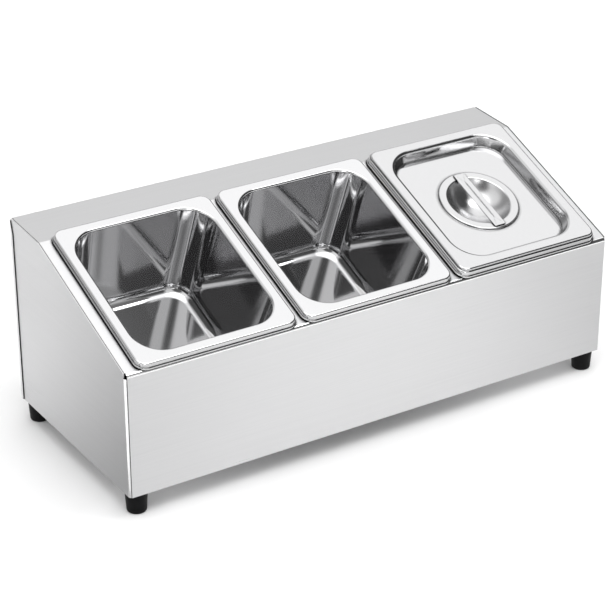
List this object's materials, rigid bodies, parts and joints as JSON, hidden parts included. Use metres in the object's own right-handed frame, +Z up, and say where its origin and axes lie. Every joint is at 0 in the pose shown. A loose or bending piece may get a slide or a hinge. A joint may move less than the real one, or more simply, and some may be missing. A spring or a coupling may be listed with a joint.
{
  "type": "condiment server",
  "caption": "Countertop condiment server: folded sheet housing with a sloping deck that carries drop-in pans, a lift-off lid with a strap handle, and rubber feet.",
  "frame": {"origin": "on the table, under the middle of the housing's width and depth", "axes": "+X to the user's right along the row of pans, +Y to the back, +Z up"},
  "size_m": [0.5316, 0.2234, 0.2153],
  "materials": {
    "satin_steel": "lightly brushed satin stainless sheet",
    "polished_steel": "polished deep-drawn stainless sheet",
    "screw_steel": "plain stainless screws",
    "zinc_steel": "zinc-plated steel fasteners",
    "black_rubber": "matt black moulded rubber"
  },
  "bodies": {
    "housing": {"top_sheet": "satin_steel", "left_side_panel": "satin_steel", "right_side_panel": "satin_steel", "back_panel": "satin_steel", "base_tray": "satin_steel", "left_deck_channel": "satin_steel", "right_deck_channel": "satin_steel", "foot_screws": "zinc_steel", "foot_washers": "zinc_steel", "foot_nuts": "zinc_steel", "back_panel_screws": "screw_steel", "front_left_foot": "black_rubber", "front_right_foot": "black_rubber", "back_left_foot": "black_rubber", "back_right_foot": "black_rubber"},
    "left_pan": {"left_pan": "polished_steel"},
    "middle_pan": {"middle_pan": "polished_steel"},
    "right_pan": {"right_pan": "polished_steel"},
    "lid": {"lid": "polished_steel", "lid_handle_strap": "polished_steel"}
  },
  "joints": [
    {"name": "left_pan_lift", "type": "slide", "parent": "housing", "child": "left_pan", "axis": [0, -0.3628, 0.9319], "range_m": [0, 0.12]},
    {"name": "middle_pan_lift", "type": "slide", "parent": "housing", "child": "middle_pan", "axis": [0, -0.3628, 0.9319], "range_m": [0, 0.12]},
    {"name": "right_pan_lift", "type": "slide", "parent": "housing", "child": "right_pan", "axis": [0, -0.3628, 0.9319], "range_m": [0, 0.12]},
    {"name": "lid_lift", "type": "slide", "parent": "right_pan", "child": "lid", "axis": [0, -0.3628, 0.9319], "range_m": [0, 0.05]}
  ]
}
